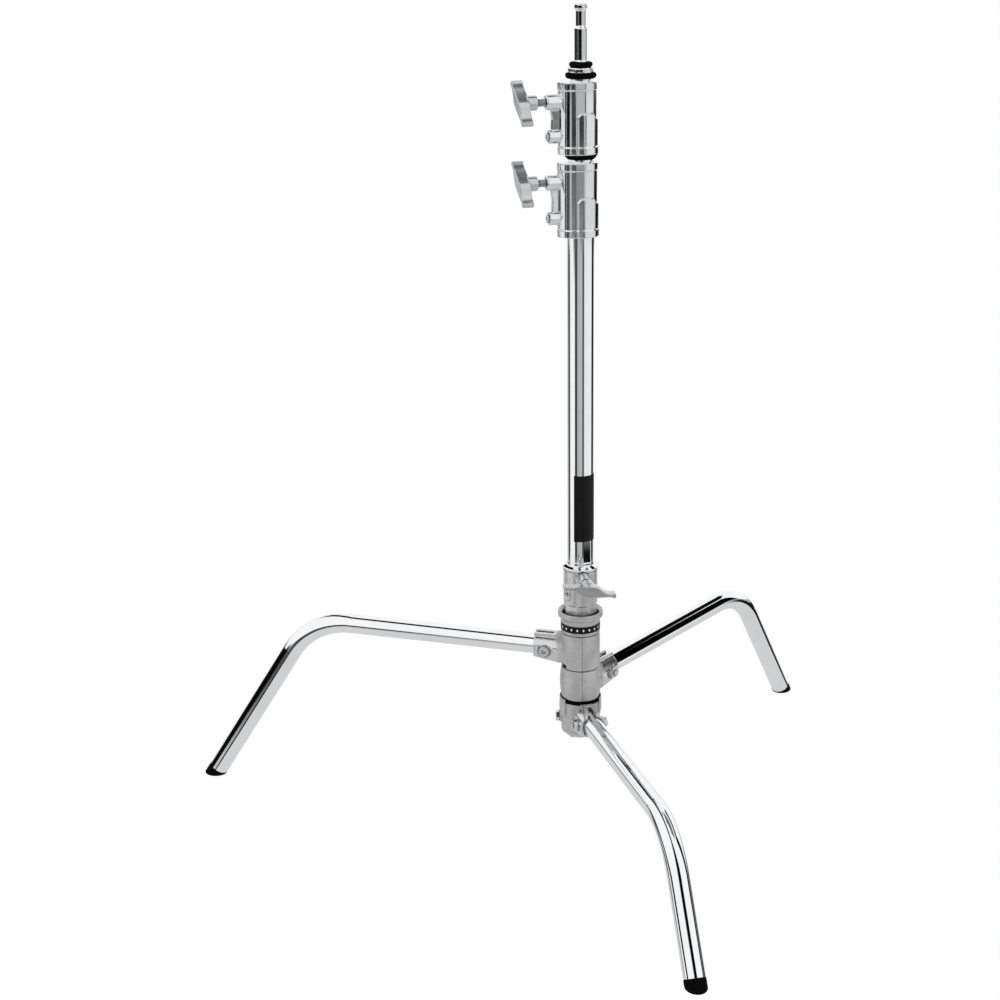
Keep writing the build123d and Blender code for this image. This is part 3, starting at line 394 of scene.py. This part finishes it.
def parting_ridge(spots):
    """Raises the casting's parting line a little, and says how far each point is from it."""
    skin_low_r, skin_high_r, height = 25.5 * MM, 29 * MM, 0.25 * MM
    turn = np.arctan2(spots[:, 1], spots[:, 0]) - math.radians(SEAM_AZIMUTH)
    out = np.hypot(spots[:, 0], spots[:, 1])
    off = np.abs(turn) * out
    on_skin = (out > skin_low_r) & (out < skin_high_r)
    lift = np.where(on_skin, height * (1 - smoothstep(0.2 * MM, 0.9 * MM, off)), 0.0)
    spots[:, :2] *= (1 + lift / np.maximum(out, 1e-6))[:, None]
    return np.where(on_skin, off, 1.0)


def threaded(node, axis, pitch=1.5 * MM, depth=0.85 * MM):
    """Clamp screw with a real helical thread, from the tip to inside the T-handle."""
    low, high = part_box(node)
    along = Vector(axis).normalized()
    reach = [v.co.dot(along) for v in NODES[node].data.vertices]
    middle = (low + high) / 2
    start = middle + along * (min(reach) - middle.dot(along))
    length = max(reach) - min(reach)
    crest = (high.z - low.z) / 2
    side = along.cross(Vector((0, 0, 1)))
    up = side.cross(along)
    around, rows_per_turn = 64, 14
    rows = int(length / pitch * rows_per_turn)
    screw = bmesh.new()
    rings = []
    for row in range(rows + 1):
        at = length * row / rows
        ring = []
        for step in range(around):
            turn = 2 * math.pi * step / around
            phase = (at / pitch - step / around) % 1.0
            flank = abs(2 * phase - 1)
            groove = depth * min(1.0, max(0.0, 1.25 * flank - 0.125))
            end = min(at, length - at)
            radius = crest - max(groove, depth * max(0.0, 1 - end / (1.2 * pitch)))
            out = side * math.cos(turn) + up * math.sin(turn)
            ring.append(screw.verts.new(start + along * at + out * radius))
        rings.append(ring)
    for one, two in zip(rings, rings[1:]):
        for step in range(around):
            after = (step + 1) % around
            screw.faces.new((one[step], one[after], two[after], two[step])).smooth = True
    screw.faces.new(rings[0][::-1])
    screw.faces.new(rings[-1])
    bmesh.ops.recalc_face_normals(screw, faces=screw.faces)
    mesh = bpy.data.meshes.new(node + "_thread")
    screw.to_mesh(mesh)
    screw.free()
    return stand_in(bpy.data.objects.new(node + "_thread", mesh), node)


def squeezed_spring():
    """The pull-up ring's spring, standing in for its CAD node with a mesh of its own."""
    spring = bpy.data.objects.new("release_spring_coil", NODES["release_spring"].data.copy())
    stand_in(spring, "release_spring")
    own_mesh(spring)


# node: voxel in mm, smoothing passes
CASTINGS = {
    "upper_collar": (0.5, 4), "lower_collar": (0.5, 4), "base_receiver": (0.6, 5), "release_ring": (0.55, 4),
    "upper_knob": (0.45, 8), "lower_knob": (0.45, 8), "base_knob": (0.45, 8),
    "baby_pin": (0.5, 3), "pin_o_ring": (0.5, 2), "riser_2_bumper": (0.5, 4), "upper_collar_bumper": (0.5, 3),
    "column_stud": (0.6, 3), "column_washer": (0.5, 2), "marker_band": (0.4, 1),
    "lower_hub_set_bolt": (0.3, 4), "upper_collar_screw": (0.3, 3), "lower_collar_screw": (0.3, 3),
    "receiver_set_screw": (0.3, 2), "base_brake_shoe": (0.35, 10),
}
HUBS = {"upper_leg_hub": (0.65, 5), "middle_leg_hub": (0.65, 5), "lower_leg_hub": (0.65, 5)}
for leg in ("upper", "middle", "lower"):
    CASTINGS[f"{leg}_leg_foot"] = (0.6, 4)
    CASTINGS[f"{leg}_leg_bolt"] = (0.3, 4)
    CASTINGS[f"{leg}_leg_nut"] = (0.3, 4)
    CASTINGS[f"{leg}_leg_washers"] = (0.3, 2)

squeezed_spring()
for node, (voxel, passes) in CASTINGS.items():
    softened(node, voxel * MM, passes)
for node, (voxel, passes) in HUBS.items():
    softened(node, voxel * MM, passes, parting_ridge)
for joint in frame["joints"]:
    if joint["name"].endswith("_handle_turn"):
        threaded(joint["name"].replace("_handle_turn", "_clamp_screw"), joint["axis"])


# ------------------------------------------------------------------ studio
def azimuth_stops(stops):
    """Ramp stops from (degrees, pixel grey): 0 faces the camera, positive to its right."""
    return [((a + 180) / 360, (g / 255) ** 2.2) for a, g in stops]


# What polished metal sees at four levels below the horizon: for the pin, two bands of the collars, the column
PIN_RING = [
    (-180, 250), (-150, 120), (-130, 30), (-66, 60), (-50, 110), (-40, 110), (-36, 8),
    (9, 8), (14, 60), (20, 190), (80, 200), (100, 160), (130, 160), (160, 250), (180, 250),
]
HIGH_COLLAR_RING = [
    (-180, 250), (-150, 215), (-130, 215), (-126, 110), (-120, 110), (-112, 250), (-49, 250), (-46, 8),
    (-24, 8), (-20, 195), (-10, 195), (-6, 90), (21, 90), (24, 195), (31, 195), (34, 60), (38, 60),
    (42, 245), (100, 245), (112, 30), (150, 40), (168, 250), (180, 250),
]
LOW_COLLAR_RING = [
    (-180, 250), (-150, 215), (-130, 215), (-126, 110), (-120, 110), (-112, 250), (-49, 250), (-46, 90),
    (-24, 90), (-20, 200), (-10, 200), (-6, 120), (21, 120), (24, 150), (34, 232), (100, 232),
    (112, 30), (150, 40), (168, 250), (180, 250),
]
COLUMN_RING = [
    (-180, 250), (-150, 215), (-130, 215), (-126, 60), (-106, 60), (-94, 250), (-52, 253), (-47, 60),
    (-32, 60), (-26, 178), (12, 190), (17, 75), (27, 75), (33, 238), (102, 245), (108, 25),
    (130, 30), (150, 250), (180, 250),
]
# height at which each ring starts, lowest first
LEVELS = ((-20.5, COLUMN_RING), (-10.9, LOW_COLLAR_RING), (-8.5, HIGH_COLLAR_RING), (-6.35, PIN_RING))
GROUND = 214
# Dark flags and gaps above: azimuth range, height range, grey
FLAGS = (
    ((95, 114), (-3, 50), 6),
    ((97, 158), (38, 50), 6),
    ((-130, -66), (-3.4, 4), 15),
    ((-6, 21), (-8.5, -7.3), 30),
    ((-62, -49), (-11.5, -5.5), 70),
    ((28, 97), (-21.5, -19.2), 12),
    ((90, 180), (58, 78), 110),
)
SKY_START = (-2.2, -1.4)
# dark gap between the two overhead soft boxes: two directions in its plane, lowest height, grey
GAP_ENDS = ((-155, 25.5), (13, 32))
GAP_START = (19.0, 21.0)
GAP_GREY = 10
GAP_WIDTHS = (0.28, 0.095)              # over the camera, behind the stand


def soft_band(nodes, value, low, high, edge=1.5):
    """1 between low and high, falling to 0 over edge at both ends."""
    return nodes.math("MULTIPLY", remap(nodes, value, 0.0, 1.0, (low - edge / 2, low + edge / 2)),
                      remap(nodes, value, 1.0, 0.0, (high - edge / 2, high + edge / 2)))


def toward(azimuth, height):
    """Unit vector to a spot of the studio."""
    a, h = math.radians(azimuth), math.radians(height)
    return Vector((math.sin(a) * math.cos(h), -math.cos(a) * math.cos(h), math.sin(h)))


def grey(value):
    """Colour that comes out as this pixel grey."""
    return ((value / 255) ** 2.2,) * 3


def studio():
    """White room for the eye and for matt surfaces; polished metal sees its cards, flags and gaps."""
    world = bpy.data.worlds.new("studio")
    bpy.context.scene.world = world
    world.use_nodes = True
    nodes = Nodes(world.node_tree)
    direction = nodes.add("ShaderNodeTexCoord").outputs["Generated"]
    axes = nodes.add("ShaderNodeSeparateXYZ", Vector=direction)
    turn = nodes.math("ARCTAN2", axes.outputs[0], nodes.math("MULTIPLY", axes.outputs[1], -1.0))
    around = nodes.math("ADD", nodes.math("DIVIDE", turn, 2 * math.pi), 0.5)
    azimuth = nodes.math("MULTIPLY", turn, math.degrees(1))
    height = nodes.math("MULTIPLY", nodes.math("ARCSINE", axes.outputs[2]), math.degrees(1))
    seen = grey(GROUND)
    for start, stops in LEVELS:
        seen = mix(nodes, remap(nodes, height, 0.0, 1.0, (start - 0.4, start + 0.4)), seen,
                   nodes.ramp(around, azimuth_stops(stops)))
    seen = mix(nodes, remap(nodes, height, 0.0, 1.0, SKY_START), seen, (1.0, 1.0, 1.0))
    for (left, right), (low, high), shade in FLAGS:
        beside = soft_band(nodes, azimuth, left, right)
        mask = nodes.math("MULTIPLY", beside, soft_band(nodes, height, low, high))
        seen = mix(nodes, mask, seen, grey(shade))
    back, front = (toward(*end) for end in GAP_ENDS)
    across = back.cross(front).normalized()
    off = nodes.add("ShaderNodeVectorMath", {"operation": "DOT_PRODUCT"})
    nodes.feed(off, 0, direction)
    nodes.feed(off, 1, across)
    width = remap(nodes, axes.outputs[1], *GAP_WIDTHS, (-0.85, -0.3))
    share = nodes.math("DIVIDE", nodes.math("ABSOLUTE", off.outputs["Value"]), width)
    above = remap(nodes, height, 0.0, 1.0, GAP_START)
    gap = nodes.math("MULTIPLY", remap(nodes, share, 1.0, 0.0, (0.8, 1.1)), above)
    seen = mix(nodes, gap, seen, grey(GAP_GREY))
    path = nodes.add("ShaderNodeLightPath")
    glow = mix(nodes, path.outputs["Is Glossy Ray"], (1.0, 1.0, 1.0), seen)
    light = nodes.add("ShaderNodeBackground", Color=glow, Strength=1.0)
    nodes.add("ShaderNodeOutputWorld", Surface=light.outputs[0])


def floor():
    """Pale floor that glows evenly to the eye and is left out of the chrome's reflections."""
    mesh = bpy.data.meshes.new("floor")
    grid = bmesh.new()
    bmesh.ops.create_grid(grid, x_segments=8, y_segments=8, size=12.0)
    grid.to_mesh(mesh)
    grid.free()
    piece = bpy.data.objects.new("floor", mesh)
    bpy.context.scene.collection.objects.link(piece)
    material, nodes = new_material("floor_paper")
    fibre = remap(nodes, noise(nodes, 6.0, 5.0), 0.995, 1.0)
    glow = nodes.add("ShaderNodeEmission", Color=fibre, Strength=1.0)
    output(nodes, glow.outputs[0])
    mesh.materials.append(material)
    piece.visible_glossy = False


CAMERA_PLACE = (0.0, -2.426, 1.2554)
CAMERA_TURN = (18.82, 2.85, 0.88)       # degrees of pitch down, yaw and roll
CAMERA_LENS = 69.9
CAMERA_SHIFT = (0.011, 0.0133)


def camera():
    """Eye level a little above the stand, as the object is seen in its picture."""
    pitch, yaw, roll = (math.radians(a) for a in CAMERA_TURN)
    forward = Vector((-math.sin(yaw) * math.cos(pitch), math.cos(yaw) * math.cos(pitch), -math.sin(pitch)))
    side = Vector((math.cos(yaw), math.sin(yaw), 0))
    down = forward.cross(side)
    right = math.cos(roll) * side + math.sin(roll) * down
    down = -math.sin(roll) * side + math.cos(roll) * down
    turn = Matrix((right, -down, -forward)).transposed().to_4x4()
    data = bpy.data.cameras.new("camera")
    data.sensor_width = 36.0
    data.lens = CAMERA_LENS
    data.shift_x, data.shift_y = CAMERA_SHIFT
    data.clip_end = 50.0
    piece = bpy.data.objects.new("camera", data)
    piece.matrix_world = Matrix.Translation(CAMERA_PLACE) @ turn
    bpy.context.scene.collection.objects.link(piece)
    bpy.context.scene.camera = piece


studio()
floor()
camera()
bpy.context.scene.view_settings.view_transform = "Standard"
